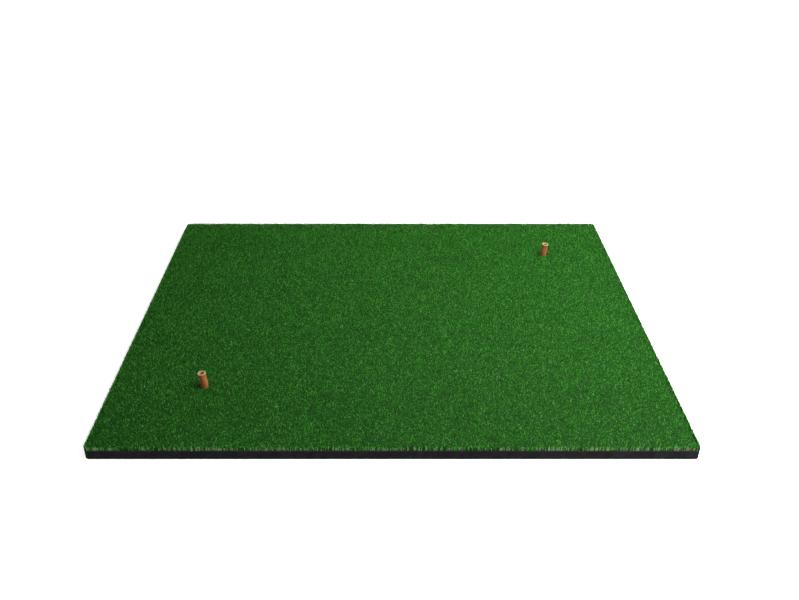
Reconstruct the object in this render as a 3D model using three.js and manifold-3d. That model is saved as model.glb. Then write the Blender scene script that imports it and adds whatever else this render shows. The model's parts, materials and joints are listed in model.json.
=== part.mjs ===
// A golf hitting mat: artificial turf on a black backing, laminated to a foam base, with two
// hollow rubber tees. Each tee is pushed up through the mat from below, is held by the flange
// in a recess under the foam, turns in its hole, and has a stem that bends over and springs back.
// Millimetres, +Z up. The origin is on the floor at the middle of the mat, +X along its width.

import * as THREE from "three";
import { mergeVertices } from "three/addons/utils/BufferGeometryUtils.js";
import Module from "manifold-3d";

const wasm = await Module();
wasm.setup();

// Driving dimensions

const MAT = { width: 1500, depth: 1250, cornerRadius: 10, cornerSteps: 5 };

// Thickness of each layer, from the floor up.
const FOAM = 24;
const BACKING = 2;
const PILE = 12;
const TURF_TOP = FOAM + BACKING + PILE;

const TEE = {
  bore: 5.5,        // radius of the hollow that runs right through
  stem: 10,         // outer radius of the stem and of the shank in the mat
  rim: 11,          // outer radius of the slightly flared rim
  rimLength: 9,     // height over which the stem flares out to the rim
  cup: 8.5,         // radius of the countersunk seat for the ball, at the rim's top
  cupDepth: 3,
  height: 37,       // how far the rim stands above the turf
  flange: 25,
  flangeThickness: 4,
  sides: 36,
};

const CLEARANCE = {
  hole: 4.4,        // round the shank, so that the leaning stem and its rim can be drawn through
  recess: 1.0,      // round the flange
  recessTop: 0.5,   // above the flange
  joint: 0.3,       // between two segments of one tee
};

// Each tee's place on the mat and how far its stem leans at rest, in degrees towards +X.
const TEES = [
  { name: "front_tee", x: -502, y: -370, lean: -7 },
  { name: "rear_tee", x: 526.7, y: 380.5, lean: 4 },
];

// The stem bends about a point one stem radius above the turf, so its round foot clears the turf.
const PIVOT_HEIGHT = TURF_TOP + TEE.stem + CLEARANCE.joint;
const STEM_LENGTH = TURF_TOP + TEE.height - PIVOT_HEIGHT;
const SHANK_BOTTOM = TEE.flangeThickness + CLEARANCE.joint;
const SHANK_TOP = PIVOT_HEIGHT - TEE.stem - CLEARANCE.joint;

// Materials

const finish = (color, roughness) => new THREE.MeshStandardMaterial({ color, roughness, metalness: 0 });
const foamFinish = () => finish(0x35353a, 0.95);
const backingFinish = () => finish(0x101110, 0.9);
const pileFinish = () => finish(0x2c6a22, 0.9);
const teeFinish = () => finish(0xb5622f, 0.7);

// Solids

const toSolid = (geometry) => {
  geometry.deleteAttribute("normal");
  geometry.deleteAttribute("uv");
  const merged = mergeVertices(geometry, 1e-4);
  return new wasm.Manifold(new wasm.Mesh({
    numProp: 3,
    vertProperties: new Float32Array(merged.attributes.position.array),
    triVerts: new Uint32Array(merged.index.array),
  }));
};

const toGeometry = (solid) => {
  const mesh = solid.getMesh();
  const geometry = new THREE.BufferGeometry();
  geometry.setAttribute("position", new THREE.BufferAttribute(mesh.vertProperties, 3));
  geometry.setIndex(new THREE.BufferAttribute(mesh.triVerts, 1));
  geometry.computeVertexNormals();
  return geometry;
};

const named = (name, geometry, material) => {
  const mesh = new THREE.Mesh(geometry, material);
  mesh.name = name;
  return mesh;
};

// A solid of revolution about +Z. The profile is a closed loop of [radius, height] pairs.
const revolve = (profile) => {
  const points = profile.map(([radius, height]) => new THREE.Vector2(radius, height));
  return new THREE.LatheGeometry(points, TEE.sides).rotateX(Math.PI / 2);
};

// A plain post about +Z, between two heights, as a cutter for holes.
const post = (radius, bottom, top) => {
  const geometry = new THREE.CylinderGeometry(radius, radius, top - bottom, TEE.sides);
  return geometry.rotateX(Math.PI / 2).translate(0, 0, (top + bottom) / 2);
};

// The mat's outline: a rectangle with slightly rounded corners.
const matOutline = () => {
  const x = MAT.width / 2;
  const y = MAT.depth / 2;
  const r = MAT.cornerRadius;
  const outline = new THREE.Shape();
  outline.moveTo(-x + r, -y);
  outline.lineTo(x - r, -y);
  outline.absarc(x - r, -y + r, r, -Math.PI / 2, 0);
  outline.lineTo(x, y - r);
  outline.absarc(x - r, y - r, r, 0, Math.PI / 2);
  outline.lineTo(-x + r, y);
  outline.absarc(-x + r, y - r, r, Math.PI / 2, Math.PI);
  outline.lineTo(-x, -y + r);
  outline.absarc(-x + r, -y + r, r, Math.PI, Math.PI * 1.5);
  return outline;
};

// One layer of the mat, with a hole for each tee's shank.
const matLayer = (bottom, thickness) => {
  const slab = new THREE.ExtrudeGeometry(matOutline(), {
    depth: thickness,
    bevelEnabled: false,
    curveSegments: MAT.cornerSteps,
  });
  let solid = toSolid(slab.translate(0, 0, bottom));
  for (const tee of TEES) {
    const hole = post(TEE.stem + CLEARANCE.hole, bottom - 1, bottom + thickness + 1);
    solid = solid.subtract(toSolid(hole.translate(tee.x, tee.y, 0)));
  }
  return solid;
};

// Foam base: the layer on the floor, with a round recess under each hole for the tee's flange.
const makeFoam = () => {
  let solid = matLayer(0, FOAM);
  const recessTop = TEE.flangeThickness + CLEARANCE.recessTop;
  for (const tee of TEES) {
    const recess = post(TEE.flange + CLEARANCE.recess, -1, recessTop);
    solid = solid.subtract(toSolid(recess.translate(tee.x, tee.y, 0)));
  }
  return toGeometry(solid);
};

// Tee flange: the wide disc that keeps the tee from coming up through the mat.
const flangeProfile = () => {
  const edge = 1;
  return [
    [TEE.bore, 0],
    [TEE.flange - edge, 0],
    [TEE.flange, edge],
    [TEE.flange, TEE.flangeThickness - edge],
    [TEE.flange - edge, TEE.flangeThickness],
    [TEE.bore, TEE.flangeThickness],
    [TEE.bore, 0],
  ];
};

// Tee shank: the tube inside the mat, up to just above the turf.
const shankProfile = () => [
  [TEE.bore, SHANK_BOTTOM],
  [TEE.stem, SHANK_BOTTOM],
  [TEE.stem, SHANK_TOP],
  [TEE.bore, SHANK_TOP],
  [TEE.bore, SHANK_BOTTOM],
];

// Tee stem, with its pivot at height 0: a round foot, a straight tube, and a flared rim whose
// top is countersunk as a seat for the ball.
const stemProfile = () => {
  const footSteps = 6;
  const footStart = -Math.acos(TEE.bore / TEE.stem);
  const profile = [];
  for (let i = 0; i <= footSteps; i += 1) {
    const angle = footStart * (1 - i / footSteps);
    profile.push([TEE.stem * Math.cos(angle), TEE.stem * Math.sin(angle)]);
  }
  profile.push([TEE.stem, STEM_LENGTH - TEE.rimLength]);
  profile.push([TEE.rim, STEM_LENGTH - 1]);
  profile.push([TEE.rim - 1, STEM_LENGTH]);
  profile.push([TEE.cup, STEM_LENGTH]);
  profile.push([TEE.bore, STEM_LENGTH - TEE.cupDepth]);
  profile.push(profile[0]);
  return profile;
};

// One moulded tee, as the three stretches that move differently: the flange slides down out of
// the mat, the shank turns in its hole, and the stem bends.
const makeTee = (tee) => {
  const group = new THREE.Group();
  group.position.set(tee.x, tee.y, 0);
  const stem = named(`${tee.name}_stem`, revolve(stemProfile()), teeFinish());
  stem.position.z = PIVOT_HEIGHT;
  stem.rotation.y = THREE.MathUtils.degToRad(tee.lean);
  group.add(named(`${tee.name}_flange`, revolve(flangeProfile()), teeFinish()));
  group.add(named(`${tee.name}_shank`, revolve(shankProfile()), teeFinish()));
  group.add(stem);
  return group;
};

const mat = new THREE.Group();
mat.add(named("foam_base", makeFoam(), foamFinish()));
mat.add(named("turf_backing", toGeometry(matLayer(FOAM, BACKING)), backingFinish()));
mat.add(named("turf_pile", toGeometry(matLayer(FOAM + BACKING, PILE)), pileFinish()));
for (const tee of TEES) {
  mat.add(makeTee(tee));
}

export default mat;
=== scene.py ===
# The looks of a golf hitting mat, built around its fixed CAD frame: a cut foam base, a black woven
# backing, artificial turf as real blades over a matted thatch, and two hollow rubber tees.
# Metres, +Z up, with the origin on the floor at the middle of the mat.

import json
import math

import bpy
import numpy as np
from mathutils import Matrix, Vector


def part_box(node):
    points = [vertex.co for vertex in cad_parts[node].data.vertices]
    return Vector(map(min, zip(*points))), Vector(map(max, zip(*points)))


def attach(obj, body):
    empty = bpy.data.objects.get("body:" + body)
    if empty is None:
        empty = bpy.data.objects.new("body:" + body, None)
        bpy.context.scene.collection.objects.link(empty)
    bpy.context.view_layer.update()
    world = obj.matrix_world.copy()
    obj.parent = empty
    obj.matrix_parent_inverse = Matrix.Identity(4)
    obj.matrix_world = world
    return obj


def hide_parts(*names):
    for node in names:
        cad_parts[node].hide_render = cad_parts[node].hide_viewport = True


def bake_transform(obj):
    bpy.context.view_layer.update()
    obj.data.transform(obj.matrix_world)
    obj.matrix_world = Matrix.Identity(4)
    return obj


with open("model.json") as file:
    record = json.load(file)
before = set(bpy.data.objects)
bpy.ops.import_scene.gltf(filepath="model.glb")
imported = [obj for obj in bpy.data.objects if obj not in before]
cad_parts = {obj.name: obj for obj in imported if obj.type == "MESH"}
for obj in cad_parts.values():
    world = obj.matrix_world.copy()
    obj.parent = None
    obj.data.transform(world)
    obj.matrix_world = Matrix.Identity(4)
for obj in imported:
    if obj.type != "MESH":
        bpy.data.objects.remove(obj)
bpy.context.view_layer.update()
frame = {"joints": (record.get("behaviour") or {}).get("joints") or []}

# Places that come from the frame

FOAM_LOW, FOAM_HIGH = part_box("foam_base")
BACKING_LOW, BACKING_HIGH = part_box("turf_backing")
PILE_LOW, PILE_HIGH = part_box("turf_pile")
HALF_WIDTH = FOAM_HIGH[0]
HALF_DEPTH = FOAM_HIGH[1]
CORNER_RADIUS = 0.010

# Sizes of the tees, as the CAD has them

TEE_NAMES = ("front_tee", "rear_tee")
TEE_LEAN = {"front_tee": math.radians(-7), "rear_tee": math.radians(4)}
STEM_RADIUS = 0.0100
RIM_RADIUS = 0.0110
BORE_RADIUS = 0.0055
CUP_RADIUS = 0.0085
FLANGE_RADIUS = 0.025
FLANGE_THICKNESS = 0.004
HOLE_RADIUS = 0.0144
RECESS_RADIUS = 0.026
RECESS_DEPTH = 0.0045
TEE_TOP = PILE_HIGH[2] + 0.0370
TUBE_BOTTOM = FLANGE_THICKNESS + 0.0003
TEE_SIDES = 72
HOLE_SIDES = 64

# The tee's rounded edges, and the rings and flare of its tube, measured down from its top

RIM_ROUNDING = 0.0012
CUP_ROUNDING = 0.0008
FLANGE_ROUNDING = 0.001
TUBE_RING_GAP = 0.0018
BORE_RING_GAP = 0.003
FLARE_START = 0.008
FLARE_LENGTH = 0.006

# Heights from a tee's pivot: where its lean starts and where it is complete

LEAN_ZONE = (-0.018, -0.008)

# The studio: how strongly the white surroundings light the mat, the floor's own glow, and
# the soft boxes, each with its name, place, target, length, width and power

WORLD_LIGHT = 0.5
FLOOR_GLOW = 0.62
SOFT_BOXES = (
    ("key", (1.45, -0.25, 1.7), (0.1, 0.0, 0.0), 2.0, 0.35, 100),
    ("fill", (0.45, 0.0, 1.5), (0.15, 0.0, 0.0), 1.0, 0.4, 12),
    ("front", (1.3, -1.5, 0.2), (0.6, -0.62, 0.02), 0.3, 0.2, 8),
)

# The camera: its place, how far it looks down, and its lens

CAMERA_PLACE = (-0.011, -2.183, 1.385)
CAMERA_PITCH = math.radians(30.89)
CAMERA_LENS = 37.81
CAMERA_SHIFT = 0.0150

# The turf: tufts in rows along the mat's width, and a dense fringe of longer blades round it

SEED = 11
ROW_GAP = 0.0044
STITCH = 0.0041
TUFT_JITTER = 0.0012
BLADES_PER_TUFT = 2
BLADE_JITTER = 0.0010
BLADE_HALF_WIDTH = 0.00072
BLADE_THICKNESS_SHARE = 0.45
BLADE_LENGTHS = (0.0098, 0.0122)
BLADE_REACH = (0.0006, 0.0019)
EDGE_INSET = 0.0005
EDGE_OVERHANG = 0.0018
FRINGE_STEP = 0.0013
FRINGE_ROWS = 4
FRINGE_JITTER = 0.0005
FRINGE_EXTRA_LENGTH = 1.12
FRINGE_REACH = (0.0004, 0.0013)
TILES = (5, 3)

# The turf round the holes: where the pile stops, how far out its blades lean in to the tee,
# and the gap that they keep from it

PILE_HOLE_RADIUS = HOLE_RADIUS + 0.0006
HOLE_FRINGE = 0.004
STEM_GAP = 0.0005

# The thatch under the blades, with its uneven top that drops at the mat's edge

THATCH_HEIGHT = 0.0068
THATCH_INSET = 0.0035
THATCH_CELL = 0.005
THATCH_JITTER = 0.0012
THATCH_LUMPS = (-0.0013, 0.0009)
THATCH_EDGE_DROP = 0.002

# The yarn's shades from deep to bright, which run past its own tones into painted shade at the deep
# end and a painted highlight at the bright end, and last the pale one of blades that show a cut end,
# which on the outermost row is also a painted sheen of fibres catching light where they bend over the
# edge.
# The shade of the field and of the fringe, and how far it wanders, are in steps of this list.

YARN_TONES_AND_PAINTED_LIGHT = (
    # Painted shade: the deepest greens stand for shadow among the blades.
    (0.001, 0.012, 0.001),
    (0.005, 0.050, 0.002),
    (0.012, 0.120, 0.004),
    (0.025, 0.215, 0.009),
    # A painted highlight: the brightest green, greyed, stands for light on the blade tips.
    (0.072, 0.350, 0.034),
    (0.220, 0.300, 0.170),
)
CUT_AND_SHEEN_SHADE = len(YARN_TONES_AND_PAINTED_LIGHT) - 1
FIELD_SHADE = 2.3
# The fringe's deeper step is painted shade, for the pile's side at the mat's edge lying in shadow.
FRINGE_SHADE = 1.35
PATCH_TINT = 0.06
BAND_TINT = 0.08
TUFT_TINT = 0.6
BLADE_TINT = 1.3
FIELD_CUT_SHARE = 0.008
FRINGE_CUT_SHARE = 0.03
# Painted sheen: the outermost row takes the pale shade far more often, for fibres catching light over
# the edge.
EDGE_CUT_AND_SHEEN_SHARE = 0.30

rng = np.random.default_rng(SEED)


def joint_place(name):
    """Where a hinge's axis passes, in the row frame."""
    return next(j["pos_m"] for j in frame["joints"] if j["name"] == name)


PIVOTS = {name: joint_place(f"{name}_flex") for name in TEE_NAMES}


# Node helpers


def new_material(name, colour, roughness, specular):
    """A material whose principled shader has these values on its own sockets."""
    material = bpy.data.materials.new(name)
    material.use_nodes = True
    shader = material.node_tree.nodes["Principled BSDF"]
    shader.inputs["Base Color"].default_value = (*colour, 1)
    shader.inputs["Roughness"].default_value = roughness
    shader.inputs["Specular IOR Level"].default_value = specular
    return material, material.node_tree, shader


def object_position(tree):
    """The point on the surface, in metres in the row frame."""
    return tree.nodes.new("ShaderNodeTexCoord").outputs["Object"]


def noise(tree, scale, detail=2.0):
    """Smooth noise with scale ripples to a metre."""
    node = tree.nodes.new("ShaderNodeTexNoise")
    node.inputs["Scale"].default_value = scale
    node.inputs["Detail"].default_value = detail
    tree.links.new(object_position(tree), node.inputs["Vector"])
    return node.outputs["Fac"]


def cells(tree, scale):
    """Distance to the middle of the nearest of the cells, scale of them to a metre."""
    node = tree.nodes.new("ShaderNodeTexVoronoi")
    node.inputs["Scale"].default_value = scale
    tree.links.new(object_position(tree), node.inputs["Vector"])
    return node.outputs["Distance"]


def ramp(tree, value, stops):
    """A colour ramp over value, with stops as (place, colour)."""
    node = tree.nodes.new("ShaderNodeValToRGB")
    points = node.color_ramp.elements
    while len(points) < len(stops):
        points.new(0.5)
    for point, (place, colour) in zip(points, stops):
        point.position = place
        point.color = (*colour, 1)
    tree.links.new(value, node.inputs["Fac"])
    return node.outputs["Color"]


def maths(tree, operation, a, b):
    """A maths node over two sockets or numbers."""
    node = tree.nodes.new("ShaderNodeMath")
    node.operation = operation
    for socket, value in zip(node.inputs, (a, b)):
        if isinstance(value, (int, float)):
            socket.default_value = value
        else:
            tree.links.new(value, socket)
    return node.outputs[0]


def mix_colours(tree, share, a, b):
    """Colour a where share is 0 and colour b where it is 1."""
    node = tree.nodes.new("ShaderNodeMix")
    node.data_type = "RGBA"
    tree.links.new(share, node.inputs["Factor"])
    for socket, colour in ((node.inputs["A"], a), (node.inputs["B"], b)):
        if isinstance(colour, tuple):
            socket.default_value = (*colour, 1)
        else:
            tree.links.new(colour, socket)
    return node.outputs["Result"]


def add_bump(tree, shader, height, distance, strength):
    """Bump on the shader from a height socket; distance is its depth in metres."""
    node = tree.nodes.new("ShaderNodeBump")
    node.inputs["Strength"].default_value = strength
    node.inputs["Distance"].default_value = distance
    tree.links.new(height, node.inputs["Height"])
    tree.links.new(node.outputs["Normal"], shader.inputs["Normal"])


# Materials


def foam_material():
    """Charcoal closed-cell foam: fine pale and dark specks, and small open cells on the cut faces."""
    material, tree, shader = new_material("foam", (0.01, 0.01, 0.011), 0.95, 0.06)
    blotches = maths(tree, "MULTIPLY", noise(tree, 60), 0.35)
    grain = maths(tree, "ADD", noise(tree, 900, 3), blotches)
    stops = (
        (0.45, (0.002, 0.002, 0.0025)),
        (0.68, (0.006, 0.006, 0.0065)),
        (0.92, (0.018, 0.018, 0.020)),
    )
    tree.links.new(ramp(tree, grain, stops), shader.inputs["Base Color"])
    add_bump(tree, shader, cells(tree, 950), 0.0006, 0.6)
    return material


def backing_material():
    """Black woven backing with its latex coat."""
    material, tree, shader = new_material("backing", (0.006, 0.006, 0.006), 0.85, 0.25)
    stops = ((0.35, (0.003, 0.003, 0.003)), (0.7, (0.013, 0.014, 0.013)))
    tree.links.new(ramp(tree, noise(tree, 700), stops), shader.inputs["Base Color"])
    add_bump(tree, shader, cells(tree, 600), 0.0004, 0.7)
    return material


def thatch_shade_material():
    """The matted yarn between the blades: its green is darkened to near black as painted shade,
    for the shadow under the blades, with darker mottled gaps of painted shade.
    """
    material, tree, shader = new_material("thatch", (0.01, 0.04, 0.008), 0.9, 0.1)
    blotches = maths(tree, "MULTIPLY", noise(tree, 90), 0.3)
    grain = maths(tree, "ADD", noise(tree, 420, 3), blotches)
    # Painted shade: these greens are far deeper than the yarn, for the shadow among the blades.
    stops = (
        (0.42, (0.001, 0.008, 0.001)),
        (0.66, (0.005, 0.032, 0.003)),
        (0.88, (0.014, 0.075, 0.007)),
    )
    tree.links.new(ramp(tree, grain, stops), shader.inputs["Base Color"])
    add_bump(tree, shader, noise(tree, 500), 0.0015, 0.8)
    return material


def yarn_and_painted_light_materials():
    """One material for each shade: the yarn's tones, with painted shade at the deep end and a painted
    highlight at the bright end. The colour of a blade is the same all along it.
    """
    made = []
    for i, colour in enumerate(YARN_TONES_AND_PAINTED_LIGHT):
        material, _, _ = new_material(f"yarn_{i}", colour, 0.62, 0.04)
        made.append(material)
    return made


def rubber_material():
    """Terracotta rubber with a fine moulded grain; a painted highlight makes it paler round the top
    of the rim, where light falls from above.
    """
    material, tree, shader = new_material("tee_rubber", (0.40, 0.13, 0.04), 0.6, 0.35)
    stops = ((0.3, (0.20, 0.060, 0.015)), (0.7, (0.30, 0.104, 0.028)))
    body = ramp(tree, noise(tree, 160, 3), stops)
    # Painted highlight: by its height, the rubber is mixed to a pale colour at the top of the rim.
    rise = tree.nodes.new("ShaderNodeAttribute")
    rise.attribute_name = "rise"
    uneven = maths(tree, "MULTIPLY", noise(tree, 300), 0.0012)
    height = maths(tree, "ADD", rise.outputs["Fac"], uneven)
    node = tree.nodes.new("ShaderNodeMapRange")
    node.inputs["From Min"].default_value = TEE_TOP - 0.0022
    node.inputs["From Max"].default_value = TEE_TOP + 0.0002
    tree.links.new(height, node.inputs["Value"])
    rim_highlight = mix_colours(tree, node.outputs["Result"], body, (0.27, 0.205, 0.100))
    tree.links.new(rim_highlight, shader.inputs["Base Color"])
    rough = maths(tree, "ADD", maths(tree, "MULTIPLY", noise(tree, 220), 0.25), 0.48)
    tree.links.new(rough, shader.inputs["Roughness"])
    add_bump(tree, shader, noise(tree, 900, 3), 0.0003, 0.5)
    return material


def floor_material():
    """A plain pale studio floor."""
    material, _, shader = new_material("studio_floor", (0.88, 0.88, 0.88), 0.9, 0.1)
    shader.inputs["Emission Color"].default_value = (1, 1, 1, 1)
    shader.inputs["Emission Strength"].default_value = FLOOR_GLOW
    return material


# Mesh helpers


def link(mesh, name, materials):
    """A smooth-shaded object in the scene for a mesh."""
    mesh.name = name
    piece = bpy.data.objects.new(name, mesh)
    bpy.context.scene.collection.objects.link(piece)
    for material in materials:
        mesh.materials.append(material)
    mesh.shade_smooth()
    return piece


def mat_outline(inset, step):
    """Points round the mat, anticlockwise, inset from its edge, with rounded corners."""
    x = HALF_WIDTH - inset
    y = HALF_DEPTH - inset
    r = max(CORNER_RADIUS - inset, 0.0015)
    corners = (
        (x - r, -y + r, -90),
        (x - r, y - r, 0),
        (-x + r, y - r, 90),
        (-x + r, -y + r, 180),
    )
    points = []
    for i, (cx, cy, start) in enumerate(corners):
        for turn in range(0, 91, 15):
            angle = math.radians(start + turn)
            points.append((cx + r * math.cos(angle), cy + r * math.sin(angle)))
        next_x, next_y, next_start = corners[(i + 1) % 4]
        end = np.array([
            next_x + r * math.cos(math.radians(next_start)),
            next_y + r * math.sin(math.radians(next_start)),
        ])
        begin = np.array(points[-1])
        count = max(1, round(float(np.linalg.norm(end - begin)) / step))
        points += [tuple(begin + (end - begin) * k / count) for k in range(1, count)]
    return np.array(points)


def layer_mesh(rings):
    """A closed layer from rings of equal length, each (n, 3), from the lowest to the highest."""
    count = len(rings[0])
    vertices = np.concatenate(rings)
    faces = [tuple(range(count - 1, -1, -1))]
    for k in range(len(rings) - 1):
        low = k * count
        for i in range(count):
            j = (i + 1) % count
            faces.append((low + i, low + j, low + count + j, low + count + i))
    top = (len(rings) - 1) * count
    faces.append(tuple(range(top, top + count)))
    mesh = bpy.data.meshes.new("layer")
    mesh.from_pydata(vertices.tolist(), [], faces)
    return mesh


def cut_posts(piece, radius, low, high):
    """Cuts a round hole or recess through piece at each tee."""
    for name in TEE_NAMES:
        x, y, _ = PIVOTS[name]
        bpy.ops.mesh.primitive_cylinder_add(
            vertices=HOLE_SIDES,
            radius=radius,
            depth=high - low,
            location=(x, y, (low + high) / 2),
        )
        cutter = bpy.context.active_object
        cut = piece.modifiers.new("cut", "BOOLEAN")
        cut.operation = "DIFFERENCE"
        cut.solver = "EXACT"
        cut.object = cutter
        bpy.context.view_layer.objects.active = piece
        bpy.ops.object.modifier_apply(modifier=cut.name)
        bpy.data.objects.remove(cutter, do_unlink=True)


def shade_by_angle(piece, degrees):
    """Smooth shading, with edges sharper than the angle left hard."""
    bpy.context.view_layer.objects.active = piece
    piece.select_set(True)
    bpy.ops.object.shade_smooth_by_angle(angle=math.radians(degrees))
    piece.select_set(False)


def wander(points, size, waves, seed):
    """A gentle uneven offset for each of the points round an outline, by a sum of sines."""
    own = np.random.default_rng(seed)
    along = np.linspace(0, 2 * math.pi, len(points), endpoint=False)
    total = np.zeros(len(points))
    for _ in range(waves):
        total += np.sin(along * own.integers(20, 260) + own.uniform(0, 2 * math.pi))
    return total * size / math.sqrt(waves)


# The foam base and the backing


def edge_layer(low, high, rounding, steps, ragged, outset=0.0):
    """Rings for a layer with rounded top and bottom edges and a slightly uneven cut side."""
    heights = [(low, rounding), (low + rounding * 0.3, rounding * 0.3)]
    for k in range(steps + 1):
        heights.append((low + rounding + (high - low - 2 * rounding) * k / steps, 0.0))
    heights += [(high - rounding * 0.3, rounding * 0.3), (high, rounding)]
    rings = []
    for k, (z, inset) in enumerate(heights):
        outline = mat_outline(inset - outset, step=0.008)
        offset = wander(outline, ragged, waves=6, seed=40 + k)
        ring = outline * (1 - offset / HALF_WIDTH)[:, None]
        rings.append(np.column_stack([ring, np.full(len(ring), z)]))
    return rings


def make_foam():
    """The cut foam slab, with its holes and the recesses for the tees' flanges."""
    rings = edge_layer(FOAM_LOW[2], FOAM_HIGH[2], rounding=0.0008, steps=5, ragged=0.00015)
    foam = link(layer_mesh(rings), "foam", [foam_material()])
    cut_posts(foam, HOLE_RADIUS, -0.01, 0.05)
    cut_posts(foam, RECESS_RADIUS, -0.01, RECESS_DEPTH)
    shade_by_angle(foam, 35)
    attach(foam, "mat")
    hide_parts("foam_base")


def make_backing():
    """The thin black backing, which stands out a little at the mat's side."""
    rings = edge_layer(
        BACKING_LOW[2], BACKING_HIGH[2], rounding=0.0004, steps=1, ragged=0.00025, outset=0.0002
    )
    backing = link(layer_mesh(rings), "backing", [backing_material()])
    cut_posts(backing, HOLE_RADIUS, 0.0, 0.05)
    shade_by_angle(backing, 35)
    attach(backing, "mat")
    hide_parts("turf_backing")
    return backing


# The turf


def smooth_field(x, y, waves, longest, seed):
    """A soft random pattern over the mat, about -1 to 1, with waves up to longest metres long."""
    own = np.random.default_rng(seed)
    total = np.zeros(np.broadcast(x, y).shape)
    for _ in range(waves):
        angle = own.uniform(0, 2 * math.pi)
        turn = 2 * math.pi / own.uniform(0.25 * longest, longest)
        total += np.sin(turn * (x * math.cos(angle) + y * math.sin(angle)) + own.uniform(0, 6.3))
    return total / math.sqrt(waves)


def inside_mat(points, inset):
    """Whether each point lies at least inset inside the mat's rounded outline."""
    half = np.array([HALF_WIDTH, HALF_DEPTH]) - CORNER_RADIUS
    over = np.maximum(np.abs(points) - half, 0)
    return np.linalg.norm(over, axis=1) <= CORNER_RADIUS - inset


def keep_rooted(roots, tuft):
    """The roots that lie on the mat and clear of its holes, with the number of each one's tuft."""
    keep = inside_mat(roots, EDGE_INSET)
    for name in TEE_NAMES:
        centre = np.array(PIVOTS[name][:2])
        keep &= np.linalg.norm(roots - centre, axis=1) > PILE_HOLE_RADIUS
    return roots[keep], tuft[keep]


def field_roots():
    """Where the blades of the field start: rows of tufts with two blades each."""
    rows = np.arange(-HALF_DEPTH, HALF_DEPTH, ROW_GAP)
    stitches = np.arange(-HALF_WIDTH, HALF_WIDTH, STITCH)
    x, y = np.meshgrid(stitches, rows)
    x = x + rng.uniform(0, STITCH, (len(rows), 1))
    tufts = np.column_stack([x.ravel(), y.ravel()])
    tufts = tufts + rng.uniform(-TUFT_JITTER, TUFT_JITTER, tufts.shape)
    roots = np.repeat(tufts, BLADES_PER_TUFT, axis=0)
    roots = roots + rng.uniform(-BLADE_JITTER, BLADE_JITTER, roots.shape)
    tuft = np.repeat(np.arange(len(tufts)), BLADES_PER_TUFT)
    return keep_rooted(roots, tuft)


def fringe_roots():
    """Where the blades of the dense outer rows start."""
    first = EDGE_INSET + FRINGE_JITTER
    rows = [mat_outline(first + FRINGE_STEP * k, FRINGE_STEP) for k in range(FRINGE_ROWS)]
    roots = np.concatenate(rows)
    roots = roots + rng.uniform(-FRINGE_JITTER, FRINGE_JITTER, roots.shape)
    return keep_rooted(roots, np.arange(len(roots)))


def outermost(roots):
    """Whether each root is in the mat's outermost row."""
    edge = np.array([HALF_WIDTH, HALF_DEPTH]) - EDGE_INSET - FRINGE_STEP
    return (np.abs(roots) > edge).any(axis=1)


def blade_paths(roots, tuft, fringe):
    """The root, bend and tip of each blade, and its facing direction."""
    count = len(roots)
    turn = rng.uniform(0, 2 * math.pi, tuft.max() + 1)[tuft] + rng.normal(0, 0.5, count)
    facing = rng.uniform(0, 2 * math.pi, count)
    curl = turn + rng.uniform(-1.9, 1.9, count)
    length = rng.uniform(*BLADE_LENGTHS, count) * (FRINGE_EXTRA_LENGTH if fringe else 1.0)
    reach = FRINGE_REACH if fringe else BLADE_REACH
    first = rng.uniform(*reach, count)
    second = first + rng.uniform(FRINGE_REACH[0], reach[1] * 1.2, count)
    bend = roots + np.column_stack([np.cos(turn), np.sin(turn)]) * first[:, None]
    tip = bend + np.column_stack([np.cos(curl), np.sin(curl)]) * second[:, None]
    low = PILE_LOW[2] + 0.0003
    heights = np.column_stack([
        np.full(count, low),
        low + length * rng.uniform(0.5, 0.68, count),
        low + length * rng.uniform(0.9, 0.98, count),
    ])
    limit = np.array([HALF_WIDTH, HALF_DEPTH]) + EDGE_OVERHANG
    path = np.clip(np.stack([roots, bend, tip], axis=1), -limit, limit)
    return path, heights, facing


def keep_clear_of_tees(path):
    """Leans the blades round each hole in to the tee, and keeps them off its stem as it turns."""
    for name in TEE_NAMES:
        centre = np.array(PIVOTS[name][:2])
        root = path[:, 0] - centre
        away = np.linalg.norm(root, axis=1)
        near = away < HOLE_RADIUS + HOLE_FRINGE
        inward = -root[near] / away[near, None]
        gap = (away[near] - STEM_RADIUS - 0.0006)[:, None]
        path[near, 1] = path[near, 0] + inward * gap * 0.45
        path[near, 2] = path[near, 0] + inward * gap * rng.uniform(0.7, 1.1, gap.shape)
        place = lean_about(PIVOTS[name], TEE_LEAN[name])
        stem = place(np.array([[0.0, 0.0, PILE_HIGH[2]]]))[0, :2]
        clear = STEM_RADIUS + np.linalg.norm(stem - centre) + STEM_GAP
        for k in (1, 2):
            offset = path[:, k] - centre
            distance = np.maximum(np.linalg.norm(offset, axis=1), 1e-6)
            pushed = np.maximum(distance, clear)
            path[:, k] = centre + offset * (pushed / distance)[:, None]
    return path


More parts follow.
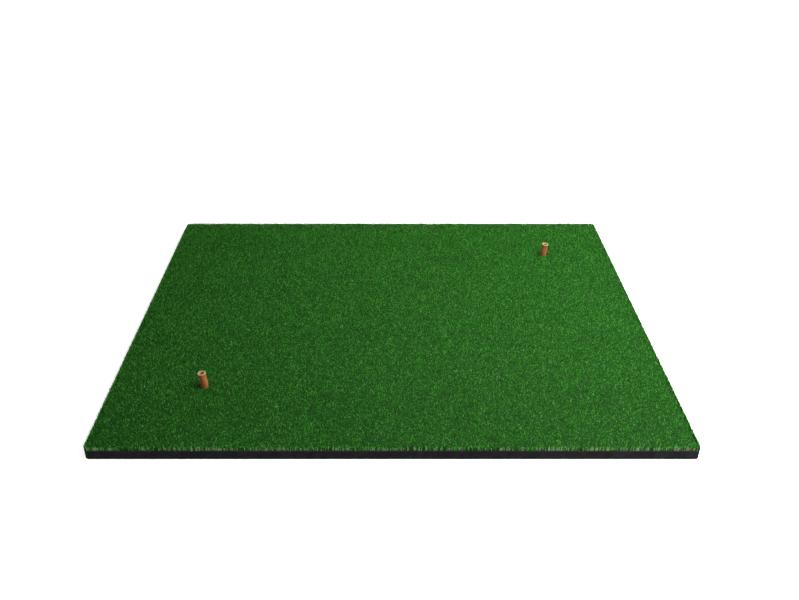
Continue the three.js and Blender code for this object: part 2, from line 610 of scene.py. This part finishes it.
def blade_shades(roots, tuft, fringe):
    """Which shade each blade has, among yarn tones with painted shade and highlight: mostly its own,
    a little its tuft's.

    Soft patches and faint bands along the mat's width are added to both.
    """
    x, y = roots[:, 0], roots[:, 1]
    patches = PATCH_TINT * smooth_field(x, y, waves=9, longest=0.35, seed=5)
    bands = BAND_TINT * smooth_field(0 * x, y, waves=5, longest=0.12, seed=7)
    by_tuft = rng.normal(0, TUFT_TINT, tuft.max() + 1)[tuft]
    tint = by_tuft + rng.normal(0, BLADE_TINT, len(roots))
    # The fringe's deeper mean shade is painted shade on the pile's side at the mat's edge.
    mean = FRINGE_SHADE if fringe else FIELD_SHADE
    shade = np.clip(np.round(mean + patches + bands + tint), 0, CUT_AND_SHEEN_SHADE - 1).astype(int)
    inner_share = FRINGE_CUT_SHARE if fringe else FIELD_CUT_SHARE
    # On the outermost row the pale shade is painted sheen of fibres catching light over the edge, as
    # well as cut ends.
    share = np.where(outermost(roots), EDGE_CUT_AND_SHEEN_SHARE, inner_share)
    shade[rng.uniform(0, 1, len(roots)) < share] = CUT_AND_SHEEN_SHADE
    return shade


def blade_vertices(path, heights, facing):
    """Seven points for each blade: a flat three-sided ring at its root and bend, and its tip."""
    count = len(path)
    wide = np.column_stack([np.cos(facing), np.sin(facing)])
    thick = np.column_stack([-wide[:, 1], wide[:, 0]]) * BLADE_THICKNESS_SHARE
    half = BLADE_HALF_WIDTH * rng.uniform(0.7, 1.15, count)
    points = np.zeros((count, 7, 3))
    for ring, size in ((0, 0.8), (1, 1.0)):
        for k, side in enumerate((wide, thick, -wide)):
            points[:, ring * 3 + k, :2] = path[:, ring] + side * (half * size)[:, None]
            points[:, ring * 3 + k, 2] = heights[:, ring]
    points[:, 6, :2] = path[:, 2]
    points[:, 6, 2] = heights[:, 2]
    return points


# A blade's faces over its seven points: the sides below its bend and above it, and its foot

BLADE_FACES = (
    (0, 1, 4, 3),
    (1, 2, 5, 4),
    (2, 0, 3, 5),
    (3, 4, 6),
    (4, 5, 6),
    (5, 3, 6),
    (2, 1, 0),
)


def blades_mesh(points, shades):
    """One mesh of closed blades, with a material index for each blade's shade."""
    count = len(points)
    corners = np.concatenate(BLADE_FACES)
    sizes = np.array([len(face) for face in BLADE_FACES])
    loops = np.arange(count)[:, None] * len(corners) + np.cumsum(sizes) - sizes
    vertices = np.arange(count)[:, None] * 7 + corners
    mesh = bpy.data.meshes.new("blades")
    mesh.vertices.add(count * 7)
    mesh.vertices.foreach_set("co", points.astype(np.float32).ravel())
    mesh.loops.add(count * len(corners))
    mesh.loops.foreach_set("vertex_index", vertices.astype(np.int32).ravel())
    mesh.polygons.add(count * len(sizes))
    mesh.polygons.foreach_set("loop_start", loops.astype(np.int32).ravel())
    face_shades = np.repeat(shades, len(sizes))
    mesh.polygons.foreach_set("material_index", face_shades.astype(np.int32))
    mesh.update(calc_edges=True)
    return mesh


def make_blades():
    """All the blades, in tiles over the mat so that no piece is too large."""
    batches = []
    for (roots, tuft), fringe in ((field_roots(), False), (fringe_roots(), True)):
        path, heights, facing = blade_paths(roots, tuft, fringe)
        path = keep_clear_of_tees(path)
        points = blade_vertices(path, heights, facing)
        batches.append((roots, points, blade_shades(roots, tuft, fringe)))
    roots, points, shades = (np.concatenate(parts) for parts in zip(*batches))
    size = 2 * np.array([HALF_WIDTH, HALF_DEPTH]) / TILES
    tile = np.floor((roots + [HALF_WIDTH, HALF_DEPTH]) / size).astype(int)
    tile = np.clip(tile, 0, np.array(TILES) - 1)
    yarns = yarn_and_painted_light_materials()
    made = []
    for i in range(TILES[0]):
        for j in range(TILES[1]):
            here = (tile == (i, j)).all(axis=1)
            mesh = blades_mesh(points[here], shades[here])
            blades = link(mesh, f"turf_blades_{i}_{j}", yarns)
            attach(blades, "mat")
            made.append(blades)
    return made


def make_thatch():
    """The matted lower part of the pile: one closed lumpy layer that the blades stand out of."""
    x_count = round(2 * (HALF_WIDTH - THATCH_INSET) / THATCH_CELL)
    y_count = round(2 * (HALF_DEPTH - THATCH_INSET) / THATCH_CELL)
    xs = np.linspace(-HALF_WIDTH + THATCH_INSET, HALF_WIDTH - THATCH_INSET, x_count + 1)
    ys = np.linspace(-HALF_DEPTH + THATCH_INSET, HALF_DEPTH - THATCH_INSET, y_count + 1)
    x, y = np.meshgrid(xs, ys)
    inner = np.zeros(x.shape, bool)
    inner[1:-1, 1:-1] = True
    x = x + inner * rng.uniform(-THATCH_JITTER, THATCH_JITTER, x.shape)
    y = y + inner * rng.uniform(-THATCH_JITTER, THATCH_JITTER, y.shape)
    low = PILE_LOW[2] + 0.0001
    z = low + THATCH_HEIGHT + rng.uniform(*THATCH_LUMPS, x.shape)
    z = z - np.where(inner, 0, THATCH_EDGE_DROP)
    top = np.column_stack([x.ravel(), y.ravel(), z.ravel()])
    bottom = top.copy()
    bottom[:, 2] = low
    wide = x_count + 1
    cells_at = np.arange(len(top)).reshape(x.shape)[:-1, :-1].ravel()
    up = np.column_stack([cells_at, cells_at + 1, cells_at + wide + 1, cells_at + wide])
    rim = np.concatenate([
        np.arange(wide - 1),
        np.arange(wide - 1, wide * y_count, wide),
        np.arange(wide * (y_count + 1) - 1, wide * y_count, -1),
        np.arange(wide * y_count, 0, -wide),
    ])
    after = np.roll(rim, -1)
    side = np.column_stack([rim + len(top), after + len(top), after, rim])
    underside = tuple((rim + len(top))[::-1])
    mesh = bpy.data.meshes.new("thatch")
    faces = up.tolist() + side.tolist() + [underside]
    used = np.unique(np.concatenate([np.arange(len(top)), rim + len(top)]))
    renumber = np.zeros(2 * len(top), int)
    renumber[used] = np.arange(len(used))
    faces = [tuple(renumber[list(face)]) for face in faces]
    mesh.from_pydata(np.concatenate([top, bottom])[used].tolist(), [], faces)
    thatch = link(mesh, "turf_thatch", [thatch_shade_material()])
    cut_posts(thatch, PILE_HOLE_RADIUS, 0.0, 0.06)
    shade_by_angle(thatch, 60)
    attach(thatch, "mat")
    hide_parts("turf_pile")
    return thatch


# The tees


def lathe_mesh(profile, place):
    """A closed ring of revolution: a closed loop of (radius, height) points, then moved by place.

    Each point keeps its height before the move in the mesh's rise attribute.
    """
    around = np.linspace(0, 2 * math.pi, TEE_SIDES, endpoint=False)
    radius, height = np.array(profile).T
    x = np.outer(np.cos(around), radius)
    y = np.outer(np.sin(around), radius)
    z = np.broadcast_to(height, x.shape)
    points = place(np.stack([x, y, z], axis=-1).reshape(-1, 3))
    count = len(profile)
    faces = []
    for i in range(TEE_SIDES):
        here, there = i * count, (i + 1) % TEE_SIDES * count
        for k in range(count):
            m = (k + 1) % count
            faces.append((here + k, there + k, there + m, here + m))
    mesh = bpy.data.meshes.new("lathe")
    mesh.from_pydata(points.tolist(), [], faces)
    rise = mesh.attributes.new("rise", "FLOAT", "POINT")
    rise.data.foreach_set("value", np.tile(height, TEE_SIDES).astype(np.float32))
    return mesh


def arc(centre, radius, start, end, steps):
    """Points of an arc in a profile, by angles in degrees from the radius direction."""
    angles = np.radians(np.linspace(start, end, steps + 1))
    return [(centre[0] + radius * math.cos(a), centre[1] + radius * math.sin(a)) for a in angles]


def tube_profile(bottom, top):
    """Up the outside of the shank and stem, round the rim and the cup, and down the bore."""
    edge = RIM_ROUNDING
    outside = [
        (STEM_RADIUS, z) for z in np.arange(bottom + edge, top - 0.009, TUBE_RING_GAP)
    ]
    flare = []
    for t in np.linspace(0, 1, 6):
        widened = (RIM_RADIUS - STEM_RADIUS) * (1 - math.cos(math.pi * t)) / 2
        flare.append((STEM_RADIUS + widened, top - FLARE_START + FLARE_LENGTH * t))
    rim = arc((RIM_RADIUS - edge, top - edge), edge, 0, 90, 5)
    cup = arc((CUP_RADIUS - 0.0002, top - CUP_ROUNDING), CUP_ROUNDING, 90, 150, 3)
    throat = [(BORE_RADIUS + 0.0006, top - 0.0026), (BORE_RADIUS, top - 0.0042)]
    bore = [(BORE_RADIUS, z) for z in np.arange(top - 0.007, bottom + 0.001, -BORE_RING_GAP)]
    foot = [(BORE_RADIUS, bottom), (STEM_RADIUS - edge * 0.3, bottom)]
    return outside + flare + rim + cup + throat + bore + foot


def lean_about(pivot, angle):
    """Moves a tee's points to its hole, and leans what stands out of the mat.

    The lean grows smoothly over LEAN_ZONE.
    """
    start, end = pivot[2] + LEAN_ZONE[0], pivot[2] + LEAN_ZONE[1]

    def place(points):
        share = np.clip((points[:, 2] - start) / (end - start), 0, 1)
        turn = angle * share * share * (3 - 2 * share)
        up = points[:, 2] - pivot[2]
        x = points[:, 0] * np.cos(turn) + up * np.sin(turn)
        z = pivot[2] - points[:, 0] * np.sin(turn) + up * np.cos(turn)
        return np.column_stack([pivot[0] + x, pivot[1] + points[:, 1], z])

    return place


def make_tee(name, rubber):
    """A tee's tube, which leans between its sleeve and its top, and its flange, which slides."""
    pivot = PIVOTS[name]
    place = lean_about(pivot, TEE_LEAN[name])
    profile = tube_profile(TUBE_BOTTOM, TEE_TOP)
    tube = link(lathe_mesh(profile, place), f"{name}_tube", [rubber])
    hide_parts(f"{name}_shank", f"{name}_stem")
    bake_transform(tube)

    r = FLANGE_RADIUS - FLANGE_ROUNDING
    edge = arc((r, FLANGE_ROUNDING), FLANGE_ROUNDING, -90, 0, 4)
    edge += arc((r, 0.003), FLANGE_ROUNDING, 0, 90, 4)
    above = [(radius, FLANGE_THICKNESS) for radius in (0.015, 0.0125, BORE_RADIUS)]
    under = [(BORE_RADIUS, 0.0006), (BORE_RADIUS + 0.0006, 0.0), (0.016, 0.0)]
    flange = link(lathe_mesh(edge + above + under, place), f"{name}_foot_disc", [rubber])
    shade_by_angle(flange, 40)
    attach(flange, f"{name}_foot")
    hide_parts(f"{name}_flange")


# The studio


def make_camera():
    """The camera, which looks along +Y and down by its pitch."""
    data = bpy.data.cameras.new("camera")
    data.sensor_width = 36
    data.lens = CAMERA_LENS
    data.shift_x = CAMERA_SHIFT
    camera = bpy.data.objects.new("camera", data)
    camera.location = CAMERA_PLACE
    camera.rotation_euler = (math.pi / 2 - CAMERA_PITCH, 0, 0)
    bpy.context.scene.collection.objects.link(camera)
    bpy.context.scene.camera = camera


def make_floor():
    """The studio floor, just under the mat."""
    bpy.ops.mesh.primitive_plane_add(size=40, location=(0, 0, -0.0005))
    floor = bpy.context.active_object
    floor.name = "studio_floor"
    floor.data.materials.append(floor_material())


def area_light(name, place, target, length, width, power):
    """A soft box that looks from place to target, with its length level."""
    data = bpy.data.lights.new(name, "AREA")
    data.shape = "RECTANGLE"
    data.size = length
    data.size_y = width
    data.energy = power
    light = bpy.data.objects.new(name, data)
    light.location = place
    toward = np.array(target) - np.array(place)
    flat = math.hypot(toward[0], toward[1])
    tilt, turn = math.atan2(flat, -toward[2]), math.atan2(-toward[0], toward[1])
    light.rotation_euler = (tilt, 0, turn)
    light.visible_camera = False
    bpy.context.scene.collection.objects.link(light)


def make_light():
    """White surroundings, seen at full strength but lighting the mat with less, and soft boxes."""
    world = bpy.data.worlds.new("studio")
    world.use_nodes = True
    tree = world.node_tree
    background = tree.nodes["Background"]
    background.inputs["Color"].default_value = (1, 1, 1, 1)
    seen = tree.nodes.new("ShaderNodeLightPath").outputs["Is Camera Ray"]
    strength = maths(tree, "ADD", maths(tree, "MULTIPLY", seen, 1 - WORLD_LIGHT), WORLD_LIGHT)
    tree.links.new(strength, background.inputs["Strength"])
    bpy.context.scene.world = world
    for soft_box in SOFT_BOXES:
        area_light(*soft_box)
    bpy.context.scene.view_settings.view_transform = "Standard"


make_camera()
make_foam()
backing = make_backing()
thatch = make_thatch()
blades = make_blades()
rubber = rubber_material()
for tee_name in TEE_NAMES:
    make_tee(tee_name, rubber)
make_floor()
make_light()
